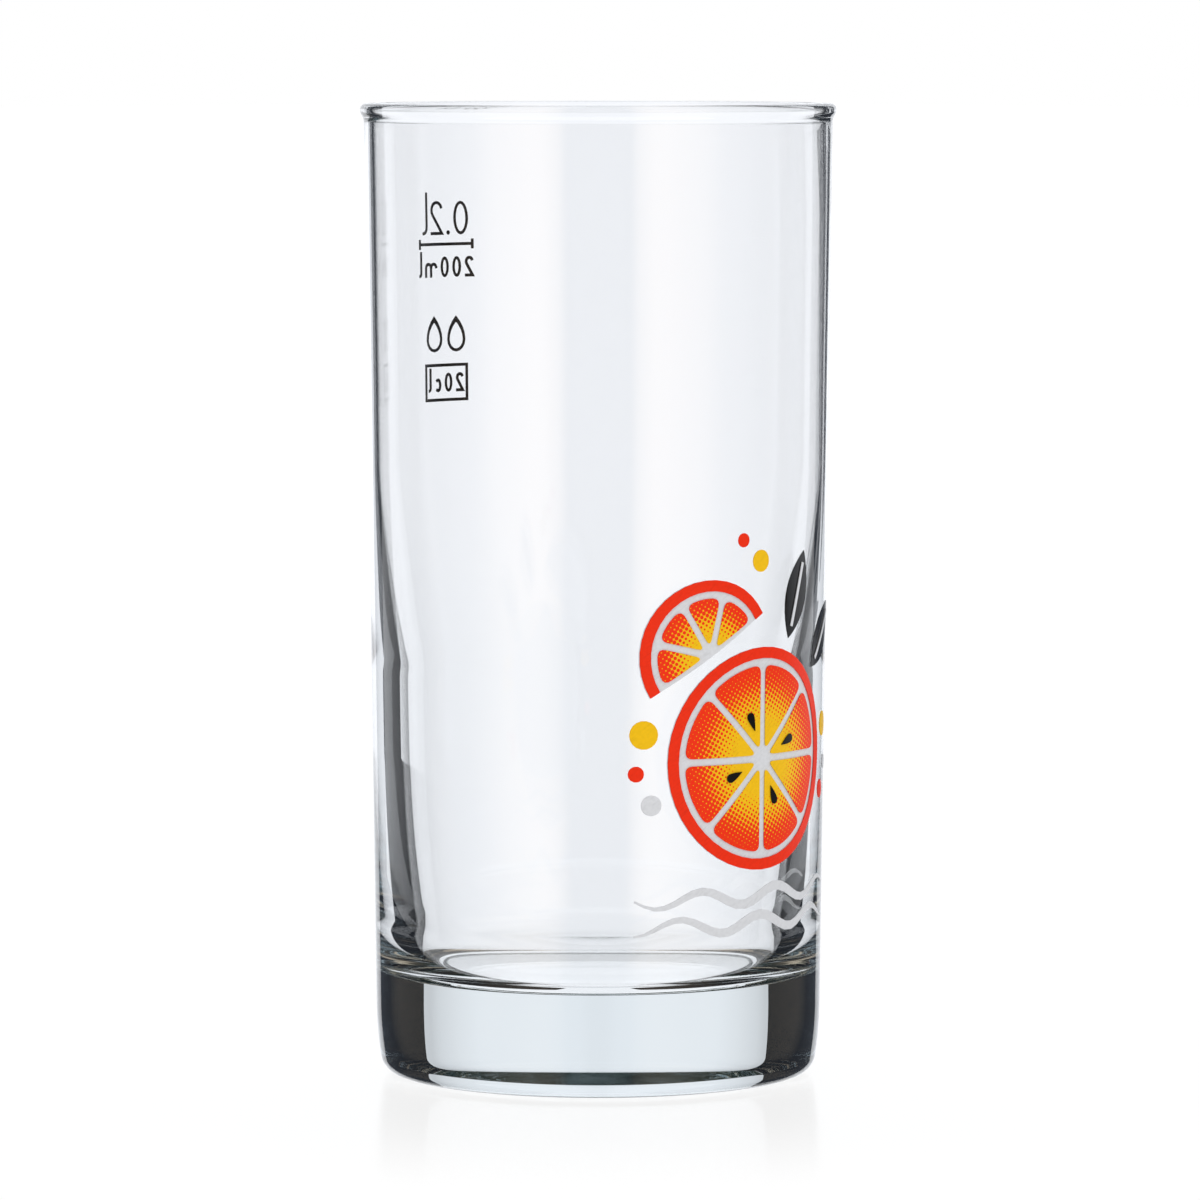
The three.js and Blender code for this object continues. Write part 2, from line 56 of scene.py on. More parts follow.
# The body that every piece rides on, and the map of the unrolled wall.
BODY = "root"
UNROLLED = "unrolled_wall"

Point = tuple[float, float]
Colour = tuple[float, float, float]


class Slot(Enum):
    """Material slots of the record."""

    GLASS = "glass"
    SILVER = "enamel_silver"
    YELLOW = "enamel_yellow"
    RED = "enamel_red"
    BLACK = "enamel_black"
    MARK = "enamel_mark"


class Side(Enum):
    """Side of the wall an enamel faces, as its azimuth in degrees."""

    FRONT = -90.0
    BACK = 90.0


def arc(centre: Point, radii: Point, start: float, end: float, steps: int = 24) -> list[Point]:
    """Points of an elliptical arc.

    Args:
        centre: its centre, mm.
        radii: its half widths, mm.
        start: first angle, degrees.
        end: last angle, degrees.
        steps: number of stretches.

    Returns:
        The points.
    """
    points = []
    for k in range(steps + 1):
        angle = math.radians(start + (end - start) * k / steps)
        points.append((centre[0] + radii[0] * math.cos(angle), centre[1] + radii[1] * math.sin(angle)))
    return points


def along(table: Sequence[Point], place: float) -> float:
    """Reads a table of places and values, straight between its rows.

    Args:
        table: rows of place and value, in order.
        place: where to read it.

    Returns:
        The value there.
    """
    for (start, low), (end, high) in zip(table, table[1:]):
        if place <= end:
            return low + (high - low) * (place - start) / (end - start)
    return table[-1][1]


def scaled(colour: Colour, share: float) -> Colour:
    """A colour times a share."""
    return tuple(channel * share for channel in colour)


def curve(*controls: Point, steps: int = 12) -> list[Point]:
    """Points of a Bezier curve after its first.

    Args:
        controls: its control points.
        steps: number of stretches.

    Returns:
        The points.
    """
    points = []
    for k in range(1, steps + 1):
        row = list(controls)
        t = k / steps
        while len(row) > 1:
            row = [(a[0] + (b[0] - a[0]) * t, a[1] + (b[1] - a[1]) * t) for a, b in zip(row, row[1:])]
        points.append(row[0])
    return points


class Graph:
    """Short hand for wiring a material's nodes."""

    def __init__(self, name: str) -> None:
        """Starts an empty material.

        Args:
            name: the material's name.
        """
        self.material = bpy.data.materials.new(name)
        self.material.use_nodes = True
        self.tree = self.material.node_tree
        self.tree.nodes.clear()

    def node(self, kind: str, **settings: object) -> bpy.types.Node:
        """Adds a node.

        Args:
            kind: the node's Blender type.
            settings: attributes to set on it.

        Returns:
            The new node.
        """
        made = self.tree.nodes.new(kind)
        for key, value in settings.items():
            setattr(made, key, value)
        return made

    def wire(self, source: object, target: bpy.types.NodeSocket) -> None:
        """Feeds a socket from another socket or with a constant.

        Args:
            source: an output socket or a constant.
            target: the input socket.
        """
        if isinstance(source, bpy.types.NodeSocket):
            self.tree.links.new(source, target)
        else:
            target.default_value = source

    def maths(self, operation: str, *values: object, clamp: bool = False) -> bpy.types.NodeSocket:
        """Adds a Math node.

        Args:
            operation: the node's operation.
            values: sockets or constants, in order.
            clamp: keep the result from 0 to 1.

        Returns:
            The result socket.
        """
        made = self.node("ShaderNodeMath", operation=operation, use_clamp=clamp)
        for value, target in zip(values, made.inputs):
            self.wire(value, target)
        return made.outputs[0]

    def vector(self, operation: str, *values: object) -> bpy.types.Node:
        """Adds a Vector Math node.

        Args:
            operation: the node's operation.
            values: sockets or constants, in order.

        Returns:
            The node, whose result is Vector or Value.
        """
        made = self.node("ShaderNodeVectorMath", operation=operation)
        for value, target in zip(values, made.inputs):
            self.wire(value, target)
        return made

    def turned(self, place: bpy.types.NodeSocket, degrees: float) -> bpy.types.NodeSocket:
        """Turns flat coordinates about their origin.

        Args:
            place: the coordinates.
            degrees: the turn.

        Returns:
            The turned coordinates.
        """
        made = self.node("ShaderNodeVectorRotate", rotation_type="Z_AXIS")
        self.wire(place, made.inputs["Vector"])
        made.inputs["Angle"].default_value = math.radians(degrees)
        return made.outputs["Vector"]

    def noise(self, place: bpy.types.NodeSocket, scale: float, detail: float = 4.0) -> bpy.types.NodeSocket:
        """Adds a noise texture.

        Args:
            place: its coordinates.
            scale: its frequency.
            detail: how many finer layers it has.

        Returns:
            The noise, about 0.5.
        """
        made = self.node("ShaderNodeTexNoise")
        made.inputs["Scale"].default_value = scale
        made.inputs["Detail"].default_value = detail
        self.wire(place, made.inputs["Vector"])
        return made.outputs["Fac"]

    def ramp(self, value: object, low: float, high: float) -> bpy.types.NodeSocket:
        """Maps a value to 0 at low and 1 at high, eased at both ends.

        Args:
            value: socket to map.
            low: value that gives 0.
            high: value that gives 1.

        Returns:
            The result socket.
        """
        made = self.node("ShaderNodeMapRange", interpolation_type="SMOOTHSTEP")
        self.wire(value, made.inputs["Value"])
        made.inputs["From Min"].default_value = low
        made.inputs["From Max"].default_value = high
        return made.outputs["Result"]

    def mix(self, share: object, first: object, second: object) -> bpy.types.NodeSocket:
        """Mixes two colours.

        Args:
            share: how much of the second.
            first: colour or socket.
            second: colour or socket.

        Returns:
            The mixed colour socket.
        """
        made = self.node("ShaderNodeMix", data_type="RGBA")
        self.wire(share, made.inputs["Factor"])
        for value, letter in ((first, "A"), (second, "B")):
            target = next(s for s in made.inputs if s.name == letter and s.type == "RGBA")
            self.wire(value if isinstance(value, bpy.types.NodeSocket) else (*value, 1.0), target)
        return next(s for s in made.outputs if s.type == "RGBA")

    def surface(self, shader: bpy.types.Node) -> bpy.types.Node:
        """Makes a shader the material's surface.

        Args:
            shader: the shader node.

        Returns:
            The output node.
        """
        output = self.node("ShaderNodeOutputMaterial")
        self.tree.links.new(shader.outputs[0], output.inputs["Surface"])
        return output


@dataclass(frozen=True)
class GlassFinish:
    """Clear soda-lime glass with the cool tint that long paths through it show.

    Attributes:
        name: the material's name.
        ior: its index of refraction.
        tint: colour that the light keeps.
        depth: density of the tint, per metre.
    """

    name: str = "clear_glass"
    ior: float = 1.52
    tint: Colour = (0.57, 0.67, 0.70)
    depth: float = 10.0

    def material(self) -> bpy.types.Material:
        """Builds the material.

        Returns:
            The glass material.
        """
        graph = Graph(self.name)
        glass = graph.node("ShaderNodeBsdfPrincipled")
        glass.inputs["Base Color"].default_value = (1.0, 1.0, 1.0, 1.0)
        glass.inputs["Roughness"].default_value = 0.0
        glass.inputs["IOR"].default_value = self.ior
        glass.inputs["Transmission Weight"].default_value = 1.0
        output = graph.surface(glass)
        inside = graph.node("ShaderNodeVolumeAbsorption")
        inside.inputs["Color"].default_value = (*self.tint, 1.0)
        inside.inputs["Density"].default_value = self.depth
        graph.tree.links.new(inside.outputs[0], output.inputs["Volume"])
        return graph.material


@dataclass(frozen=True)
class Halftone:
    """Screen dots of a second ink that swell from one distance to another about a centre on the wall.

    Attributes:
        centre: along the wall and up it, mm.
        start: distance where the dots begin, mm.
        full: distance where they close up, mm.
        pitch: spacing of the dots, mm.
        turn: screen angle, degrees.
        ink: colour of the dots.
        largest: radius of a dot where they close up, as a share of the pitch.
        soft: half width of a dot's edge, as a share of the pitch.
    """

    centre: Point
    start: float
    full: float
    pitch: float = 0.55
    turn: float = 30.0
    ink: Colour = (0.871, 0.03, 0.005)
    largest: float = 0.74
    soft: float = 0.05


@dataclass(frozen=True)
class EnamelFinish:
    """Fired ceramic ink from a screen print.

    Attributes:
        name: the material's name.
        colour: the ink.
        slot: its slot in the record.
        roughness: roughness of its surface.
        gloss: its specular level.
        mottle: how much darker the clouds in it are.
        cloud_scale: frequency of the clouds, per mm.
        clouds: noise from the darkest cloud to the clear ink.
        streak: strength of the squeegee's streaks.
        streak_turn: their direction, degrees.
        streak_scale: their frequency, per mm.
        streak_stretch: how their pattern is drawn out along and across.
        streaks: noise from no streak to a full one.
        streak_depth: how much darker a full streak is.
        halftone: dots of a second ink, if it has any.
    """

    name: str
    colour: Colour
    slot: Slot
    roughness: float = 0.28
    gloss: float = 0.12
    mottle: float = 0.06
    cloud_scale: float = 2.2
    clouds: Point = (0.35, 0.65)
    streak: float = 0.16
    streak_turn: float = -38.0
    streak_scale: float = 5.0
    streak_stretch: tuple[float, float, float] = (0.1, 1.0, 0.0)
    streaks: Point = (0.52, 0.68)
    streak_depth: float = 0.6
    halftone: Halftone | None = None

    def material(self) -> bpy.types.Material:
        """Builds the material.

        Returns:
            The enamel material.
        """
        graph = Graph(self.name)
        enamel = graph.node("ShaderNodeBsdfPrincipled")
        enamel.inputs["Roughness"].default_value = self.roughness
        enamel.inputs["Specular IOR Level"].default_value = self.gloss
        place = graph.node("ShaderNodeUVMap", uv_map=UNROLLED).outputs["UV"]
        cloud = graph.ramp(graph.noise(place, self.cloud_scale), *self.clouds)
        ground = graph.mix(cloud, self.shade(self.mottle), self.colour)
        if self.halftone:
            ground = graph.mix(self.dots(graph, place, self.halftone), ground, self.halftone.ink)
        drawn = graph.vector("MULTIPLY", graph.turned(place, self.streak_turn), self.streak_stretch)
        streaks = graph.ramp(graph.noise(drawn.outputs["Vector"], self.streak_scale), *self.streaks)
        thin = graph.maths("MULTIPLY", streaks, self.streak)
        graph.wire(graph.mix(thin, ground, self.shade(self.streak_depth)), enamel.inputs["Base Color"])
        graph.surface(enamel)
        return graph.material

    def shade(self, depth: float) -> Colour:
        """The ink's colour, darkened by a share."""
        return scaled(self.colour, 1.0 - depth)

    def dots(self, graph: Graph, place: bpy.types.NodeSocket, screen: Halftone) -> bpy.types.NodeSocket:
        """Lays out the halftone dots.

        Args:
            graph: graph of the material.
            place: unrolled wall coordinates, mm.
            screen: the halftone screen.

        Returns:
            Socket that is 1 on a dot and 0 beside it.
        """
        offset = graph.vector("SUBTRACT", place, (*screen.centre, 0.0)).outputs["Vector"]
        reach = graph.ramp(graph.vector("LENGTH", offset).outputs["Value"], screen.start, screen.full)
        cell = graph.vector("SCALE", graph.turned(offset, screen.turn))
        cell.inputs["Scale"].default_value = 1.0 / screen.pitch
        inside = graph.vector("FRACTION", cell.outputs["Vector"]).outputs["Vector"]
        middle = graph.vector("SUBTRACT", inside, (0.5, 0.5, 0.0)).outputs["Vector"]
        flat = graph.vector("MULTIPLY", middle, (1.0, 1.0, 0.0)).outputs["Vector"]
        away = graph.vector("LENGTH", flat).outputs["Value"]
        radius = graph.maths("MULTIPLY", graph.maths("SQRT", reach), screen.largest)
        inked = graph.maths("SUBTRACT", radius, away)
        return graph.ramp(inked, -screen.soft, screen.soft)


@dataclass(frozen=True)
class GlowFinish:
    """Light given off by a studio panel, with an even fill for enamel that is lit through the glass.

    Attributes:
        name: the material's name.
        colour: colour of the light.
        level: its brightness.
        attribute: name of the mesh's own colours, used in the place of colour and level.
        fill: light that falls through the glass on enamel behind it.
    """

    name: str
    colour: Colour = (1.0, 1.0, 1.0)
    level: float = 1.0
    attribute: str = ""
    fill: Colour = (0.9, 0.9, 0.9)

    def material(self) -> bpy.types.Material:
        """Builds the material.

        Returns:
            The panel's material.
        """
        graph = Graph(self.name)
        glow = graph.node("ShaderNodeEmission")
        light = scaled(self.colour, self.level)
        if self.attribute:
            light = graph.node("ShaderNodeAttribute", attribute_name=self.attribute).outputs["Color"]
        bounced = graph.maths("MINIMUM", graph.node("ShaderNodeLightPath").outputs["Diffuse Depth"], 1.0)
        graph.wire(graph.mix(bounced, light, self.fill), glow.inputs["Color"])
        graph.surface(glow)
        return graph.material


@dataclass(frozen=True)
class FloorFinish:
    """Pale acrylic table top, lit from below, its reflection painted to fade away from the glass.

    Attributes:
        name: the material's name.
        colour: its colour under the light from above.
        roughness: roughness of its surface.
        ior: its index of refraction near the glass, where the painted fade leaves the reflection full.
        glow: its light from below near the glass, lower where the reflection of the glass is full.
        far_glow: its light from below further out, raised to make up for the faded reflection.
        far_reflection_share: reflection further out, as a share of the one near the glass.
        reflection_fade_start: distance from the glass's axis at which the painted fade of the reflection
            begins, metres.
        reflection_fade_end: distance from the axis at which the reflection is faded to its far share,
            metres.
    """

    name: str = "pale_acrylic"
    colour: Colour = (0.05, 0.05, 0.05)
    roughness: float = 0.16
    ior: float = 1.038
    glow: float = 0.84
    far_glow: float = 0.96
    far_reflection_share: float = 0.02
    reflection_fade_start: float = 0.04
    reflection_fade_end: float = 0.108

    def acrylic(self, graph: Graph, shine: float, glow: float) -> bpy.types.Node:
        """Adds the shader of one stretch of the table top.

        Args:
            graph: graph of the material.
            shine: its reflection, as a share of the one near the glass.
            glow: its light from below.

        Returns:
            The shader.
        """
        top = graph.node("ShaderNodeBsdfPrincipled")
        top.inputs["Base Color"].default_value = (*self.colour, 1.0)
        top.inputs["Roughness"].default_value = self.roughness
        top.inputs["IOR"].default_value = 1.0 + (self.ior - 1.0) * shine
        top.inputs["Emission Color"].default_value = (1.0, 1.0, 1.0, 1.0)
        top.inputs["Emission Strength"].default_value = glow
        return top

    def material(self) -> bpy.types.Material:
        """Builds the material.

        Returns:
            The floor's material.
        """
        graph = Graph(self.name)
        place = graph.node("ShaderNodeTexCoord").outputs["Object"]
        away = graph.vector("LENGTH", place).outputs["Value"]
        # Painted reflection fade: the reflection weakens with distance from the glass's axis, and the glow
        # rises to keep the top evenly bright.
        fade = graph.node("ShaderNodeMixShader")
        graph.wire(graph.ramp(away, self.reflection_fade_start, self.reflection_fade_end), fade.inputs["Fac"])
        for shader, target in (
            (self.acrylic(graph, 1.0, self.glow), fade.inputs[1]),
            (self.acrylic(graph, self.far_reflection_share, self.far_glow), fade.inputs[2]),
        ):
            graph.tree.links.new(shader.outputs[0], target)
        graph.surface(fade)
        return graph.material


def new_object(name: str, mesh: bpy.types.Mesh) -> bpy.types.Object:
    """Links a mesh to the scene as an object.

    Args:
        name: the object's name.
        mesh: its mesh.

    Returns:
        The object.
    """
    made = bpy.data.objects.new(name, mesh)
    bpy.context.scene.collection.objects.link(made)
    return made


@dataclass
class GlassBody:
    """The formed glass: recessed foot, drawn-in heel, thick base, wall shoulder and rim bead, in mm.

    Attributes that the form alone doesn't tell:
        thin_side: azimuth of the side where the wall is thinnest, degrees.
        thinning: half of what it is thinner there.
        rim_even: height under the rim over which the wall grows even again.
        still_above: height above which the shoulder bends no light up or down.
        still_below: height from which it bends its share.
        ripple: that share.
        calm_below: how far under the shoulder its shading is calmed.
        calm_above: how far over it.
        calm_clear: distance from the outside that keeps the outer wall out of it.
        flat_rings: rings across the recess and across the floor.
        wall_rings: rings up the outside.
        bowl_rings: rings down the inside.
        fillet_rings: rings round the edge of the floor.
        segments: facets round the glass.
    """

    node: str = "glass_body"
    foot_diameter: float = 56.5
    lean: float = math.tan(math.radians(0.72))
    heel_top: float = 8.9
    heel_lean: float = math.radians(8.6)
    heel_round: float = 2.4
    ring_width: float = 1.1
    recess_run: float = 1.4
    recess_depth: float = 0.28
    bead_bulge: float = 0.45
    bead_height: float = 2.4
    round_outside: float = 0.75
    round_inside: float = 0.4
    crest_offset: float = 0.9
    wall_upper: float = 1.25
    wall_lower: float = 3.7
    wall_floor: float = 4.85
    shoulder_bottom: float = 52.5
    shoulder_rise: float = 25.0
    shoulder_power: float = 1.3
    flare_power: float = 3.0
    floor: float = 12.5
    fillet_width: float = 4.2
    fillet_height: float = 6.9
    thin_side: float = -45.0
    thinning: float = 0.15
    rim_even: float = 14.0
    still_above: float = 60.0
    still_below: float = 52.5
    ripple: float = 0.5
    calm_below: float = 12.0
    calm_above: float = 8.0
    calm_clear: float = 0.6
    flat_rings: int = 12
    wall_rings: int = 24
    bowl_rings: int = 140
    fillet_rings: int = 24
    segments: int = 256
    finish: GlassFinish = field(default_factory=GlassFinish)

    def __post_init__(self) -> None:
        """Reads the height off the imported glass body."""
        self.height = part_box(self.node)[1].z / MM
        self.fillet_top = self.floor + self.fillet_height
        self.shoulder_top = self.shoulder_bottom + self.shoulder_rise

    def outer(self, z: float) -> float:
        """Outside radius of the straight wall at a height.

        Args:
            z: height, mm.

        Returns:
            The radius, mm.
        """
        return self.foot_diameter / 2 + self.lean * z

    def wall(self, z: float) -> float:
        """Wall thickness above the floor fillet.

        Args:
            z: height, mm.

        Returns:
            The thickness, mm.
        """
        if z < self.shoulder_bottom:
            below = (self.shoulder_bottom - z) / (self.shoulder_bottom - self.fillet_top)
            return self.wall_lower + (self.wall_floor - self.wall_lower) * below ** self.flare_power
        below = max((self.shoulder_top - z) / self.shoulder_rise, 0.0)
        return self.wall_upper + (self.wall_lower - self.wall_upper) * below ** self.shoulder_power

    def inner(self, z: float) -> float:
        """Inside radius at a height above the floor fillet.

        Args:
            z: height, mm.

        Returns:
            The radius, mm.
        """
        return self.outer(z) - self.wall(z)

    def foot_profile(self) -> list[Point]:
        """Recess, bearing ring and heel, from the axis up to the straight wall.

        Returns:
            Points of radius and height, mm.
        """
        turn_top = self.heel_round * (1.0 - math.sin(self.heel_lean))
        middle = (turn_top + self.heel_top) / 2
        turn_radius = self.outer(middle) - math.tan(self.heel_lean) * (middle - turn_top)
        ring_outer = turn_radius - self.heel_round * math.cos(self.heel_lean)
        ring_inner = ring_outer - self.ring_width
        start = ring_inner - self.recess_run
        points = [(start * k / self.flat_rings, self.recess_depth) for k in range(self.flat_rings + 1)]
        points += curve((start, self.recess_depth), (ring_inner, self.recess_depth), (ring_inner, 0.0))
        points += arc((ring_outer, self.heel_round), (self.heel_round, self.heel_round), -90.0,
                      -math.degrees(self.heel_lean))
        points += curve(points[-1], (self.outer(middle), middle), (self.outer(self.heel_top), self.heel_top))
        return points

    def rim_profile(self) -> list[Point]:
        """Straight wall and bead, over the crest and down to the inner wall.

        Returns:
            Points of radius and height, mm.
        """
        bead_foot = self.height - self.bead_height
        widest = self.height - self.round_outside
        bead_radius = self.outer(widest) + self.bead_bulge
        middle = (bead_foot + widest) / 2
        rim_bottom = self.height - self.round_inside
        crest = self.inner(rim_bottom) + self.crest_offset
        points = []
        for k in range(1, self.wall_rings + 1):
            z = self.heel_top + (bead_foot - self.heel_top) * k / self.wall_rings
            points.append((self.outer(z), z))
        swell = [(self.outer(bead_foot), middle), (bead_radius, middle), (bead_radius, widest)]
        points += curve(points[-1], *swell)
        points += arc((crest, widest), (bead_radius - crest, self.round_outside), 0.0, 90.0)[1:]
        points += arc((crest, rim_bottom), (self.crest_offset, self.round_inside), 90.0, 180.0)[1:]
        return points

    def bowl_profile(self) -> list[Point]:
        """Inner wall down to the floor and in to the axis.

        Returns:
            Points of radius and height, mm.
        """
        start = self.height - self.round_inside
        points = []
        for k in range(1, self.bowl_rings + 1):
            z = start + (self.fillet_top - start) * k / self.bowl_rings
            points.append((self.inner(z), z))
        wall = self.inner(self.fillet_top)
        edge = wall - self.fillet_width
        fillet = ((wall, self.fillet_top), (wall, self.floor), (edge, self.floor))
        points += curve(*fillet, steps=self.fillet_rings)
        points += [(edge * (1.0 - k / self.flat_rings), self.floor) for k in range(1, self.flat_rings + 1)]
        return points

    def turned(self, outside: Sequence[Point], inside: Sequence[Point]) -> bpy.types.Mesh:
        """Turns the profile about the axis, the inner wall a little thinner on one side.

        Args:
            outside: points from the axis under the base to the rim.
            inside: points from the rim to the axis on the floor.

        Returns:
            The mesh, in metres.
        """
        shape = bmesh.new()
        rings: list[list[bmesh.types.BMVert]] = []
        profile = [(r, z, 0.0) for r, z in outside] + [(r, z, self.uneven(z)) for r, z in inside]
        for radius, z, uneven in profile:
            count = self.segments if radius > ON_AXIS else 1
            ring = []
            for k in range(count):
                angle = 2.0 * math.pi * k / self.segments
                lean = 1.0 + math.cos(angle - math.radians(self.thin_side))
                r = (radius + uneven * lean) * MM
                ring.append(shape.verts.new((r * math.cos(angle), r * math.sin(angle), z * MM)))
            rings.append(ring)
        for lower, upper in zip(rings, rings[1:]):
            for k in range(self.segments):
                n = (k + 1) % self.segments
                below = [lower[k % len(lower)], lower[n % len(lower)]]
                above = [upper[n % len(upper)], upper[k % len(upper)]]
                shape.faces.new(list(dict.fromkeys(below + above)))
        bmesh.ops.recalc_face_normals(shape, faces=shape.faces)
        mesh = bpy.data.meshes.new(self.node)
        for face in shape.faces:
            face.smooth = True
        shape.to_mesh(mesh)
        shape.free()
        return mesh

    def uneven(self, z: float) -> float:
        """How far the inner wall swings towards the thin side at a height.

        Args:
            z: height, mm.

        Returns:
            Half of the largest thinning, mm.
        """
        rise = (z - self.shoulder_bottom) / self.shoulder_rise
        below_rim = (self.height - self.round_inside - z) / self.rim_even
        return self.thinning * min(max(min(rise, below_rim), 0.0), 1.0)

    def settle_normals(self, mesh: bpy.types.Mesh) -> None:
        """Calms the shading of the shoulder, so that its slow taper bends no light up or down.

        Args:
            mesh: the turned glass.
        """
        normals = []
        for vertex in mesh.vertices:
            normal = vertex.normal.copy()
            z = vertex.co.z / MM
            radius = math.hypot(vertex.co.x, vertex.co.y) / MM
            on_wall = self.shoulder_bottom - self.calm_below < z < self.shoulder_top + self.calm_above
            if on_wall and radius < self.outer(z) - self.calm_clear:
                share = (self.still_above - z) / (self.still_above - self.still_below)
                normal.z *= self.ripple * min(max(share, 0.0), 1.0)
                normal.normalize()
            normals.append(normal)
        mesh.normals_split_custom_set_from_vertices(normals)

    def build(self) -> bpy.types.Object:
        """Builds the glass body.

        Returns:
            The piece.
        """
        mesh = self.turned(self.foot_profile() + self.rim_profile(), self.bowl_profile())
        self.settle_normals(mesh)
        piece = new_object("clear_glass_body", mesh)
        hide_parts(self.node)
        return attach(piece, BODY)

    def dress(self, piece: bpy.types.Object) -> None:
        """Gives the glass body its finish.

        Args:
            piece: the glass body.
        """
        piece.data.materials.append(self.finish.material())


@dataclass
class FilmMesh:
    """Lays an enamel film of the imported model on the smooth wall, with unrolled wall coordinates in mm.

    Attributes:
        body: the glass under the films.
        facet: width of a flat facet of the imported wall, degrees.
        step: width of a facet of the laid film, degrees.
        weld: distance up to which corners are joined, metres.
        cut: distance from a cut up to which corners count as on it, metres.
    """

    body: GlassBody
    facet: float = 5.0
    step: float = 1.25
    weld: float = 1e-7
    cut: float = 1e-8

    def laid(self, node: str, side: Side) -> bpy.types.Object:
        """Makes the piece that stands for one film.

        Args:
            node: the film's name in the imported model.
            side: the side of the wall it is on.

        Returns:
            The piece.
        """
        shape = bmesh.new()
        shape.from_mesh(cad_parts[node].data)
        bmesh.ops.remove_doubles(shape, verts=shape.verts, dist=self.weld)
        self.slice(shape, side)
        for vertex in shape.verts:
            vertex.co = self.smooth_place(vertex.co)
        self.unroll(shape, side)
        bmesh.ops.recalc_face_normals(shape, faces=shape.faces)
        mesh = bpy.data.meshes.new(node)
        shape.to_mesh(mesh)
        shape.free()
        piece = new_object(f"{node}_film", mesh)
        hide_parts(node)
        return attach(piece, BODY)

    def slice(self, shape: bmesh.types.BMesh, side: Side) -> None:
        """Cuts a film along the wall's meridians, so that it can follow the round wall.

        Args:
            shape: the film.
            side: the side of the wall it is on.
        """
        spread = [self.azimuth(vertex.co, side) for vertex in shape.verts]
        first = math.ceil(min(spread) / self.step)
        last = math.floor(max(spread) / self.step)
        for k in range(first, last + 1):
            angle = math.radians(side.value + k * self.step)
            normal = Vector((-math.sin(angle), math.cos(angle), 0.0))
            whole = shape.verts[:] + shape.edges[:] + shape.faces[:]
            bmesh.ops.bisect_plane(
                shape, geom=whole, dist=self.cut, plane_co=(0.0, 0.0, 0.0), plane_no=normal,
            )

    def azimuth(self, place: Vector, side: Side) -> float:
        """Angle round the axis from the middle of a side.

        Args:
            place: a point.
            side: the side of the wall.

        Returns:
            The angle, degrees.
        """
        angle = math.degrees(math.atan2(place.y, place.x)) - side.value
        return (angle + 180.0) % 360.0 - 180.0

    def smooth_place(self, place: Vector) -> Vector:
        """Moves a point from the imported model's flat facet to the round wall.

        Args:
            place: a point on a film.

        Returns:
            Its place on the round wall.
        """
        angle = math.degrees(math.atan2(place.y, place.x))
        middle = (math.floor(angle / self.facet) + 0.5) * self.facet
        stretch = math.cos(math.radians(angle - middle)) / math.cos(math.radians(self.facet / 2))
        return Vector((place.x * stretch, place.y * stretch, place.z))

    def unroll(self, shape: bmesh.types.BMesh, side: Side) -> None:
        """Stores each corner's length along the wall and height, mm.

        Args:
            shape: the film.
            side: the side of the wall it is on.
        """
        layer = shape.loops.layers.uv.new(UNROLLED)
        for face in shape.faces:
            for corner in face.loops:
                place = corner.vert.co
                z = place.z / MM
                length = math.radians(self.azimuth(place, side)) * self.body.outer(z)
                corner[layer].uv = (length, z)


@dataclass
class Enamels:
    """The inks of the print and of the fill mark."""

    silver: EnamelFinish = EnamelFinish(
        "silver_enamel", (0.70, 0.71, 0.735), Slot.SILVER, roughness=0.34, gloss=0.3,
    )
    yellow: EnamelFinish = EnamelFinish("yellow_enamel", (0.905, 0.527, 0.006), Slot.YELLOW)
    red: EnamelFinish = EnamelFinish("red_enamel", (0.871, 0.03, 0.005), Slot.RED)
    black: EnamelFinish = EnamelFinish(
        "black_enamel", (0.006, 0.006, 0.007), Slot.BLACK, roughness=0.22, gloss=0.4,
    )
    mark: EnamelFinish = EnamelFinish("mark_enamel", (0.0103, 0.0137, 0.0242), Slot.MARK)
    flesh_screen: Halftone = Halftone(centre=(0.0, 42.1), start=4.0, full=14.5)
    slice_screen: Halftone = Halftone(centre=(-8.27, 55.33), start=2.0, full=9.5)

    def __post_init__(self) -> None:
        """Mixes the shaded yellows of the fruit."""
        colour = self.yellow.colour
        self.flesh = EnamelFinish("wheel_flesh_enamel", colour, Slot.YELLOW, halftone=self.flesh_screen)
        self.slice_flesh = EnamelFinish(
            "slice_flesh_enamel", colour, Slot.YELLOW, halftone=self.slice_screen,
        )
        self.made: dict[str, bpy.types.Material] = {}

    def paint(self, piece: bpy.types.Object, finish: EnamelFinish) -> None:
        """Gives a film its ink.

        Args:
            piece: the film.
            finish: its ink.
        """
        if finish.name not in self.made:
            self.made[finish.name] = finish.material()
        piece.data.materials.clear()
        piece.data.materials.append(self.made[finish.name])


@dataclass
class FilmGroup:
    """Films that belong together, as pairs of a node's name and its ink."""

    films: FilmMesh
    inks: Enamels
    side: Side = Side.FRONT

    def listed(self) -> Iterable[tuple[str, EnamelFinish]]:
        """Names the group's films with their inks."""
        return ()

    def build(self) -> list[bpy.types.Object]:
        """Lays the group's films.

        Returns:
            The pieces.
        """
        return [self.films.laid(node, self.side) for node, _ in self.listed()]

    def dress(self, pieces: Iterable[bpy.types.Object]) -> None:
        """Inks the group's films.

        Args:
            pieces: the films, in the order of listed.
        """
        for piece, (_, ink) in zip(pieces, self.listed()):
            self.inks.paint(piece, ink)


@dataclass
class CitrusWheel(FilmGroup):
    """The cut fruit at the middle of the print."""

    segments: int = 8
    pips: int = 4

    def listed(self) -> Iterable[tuple[str, EnamelFinish]]:
        """Names the wheel's films with their inks.

        Yields:
            A film's name and its ink.
        """
        yield "wheel_pith", self.inks.silver
        yield "wheel_rind", self.inks.red
        for k in range(1, self.segments + 1):
            yield f"wheel_segment_{k}", self.inks.flesh
        for k in range(1, self.pips + 1):
            yield f"wheel_pip_{k}", self.inks.black


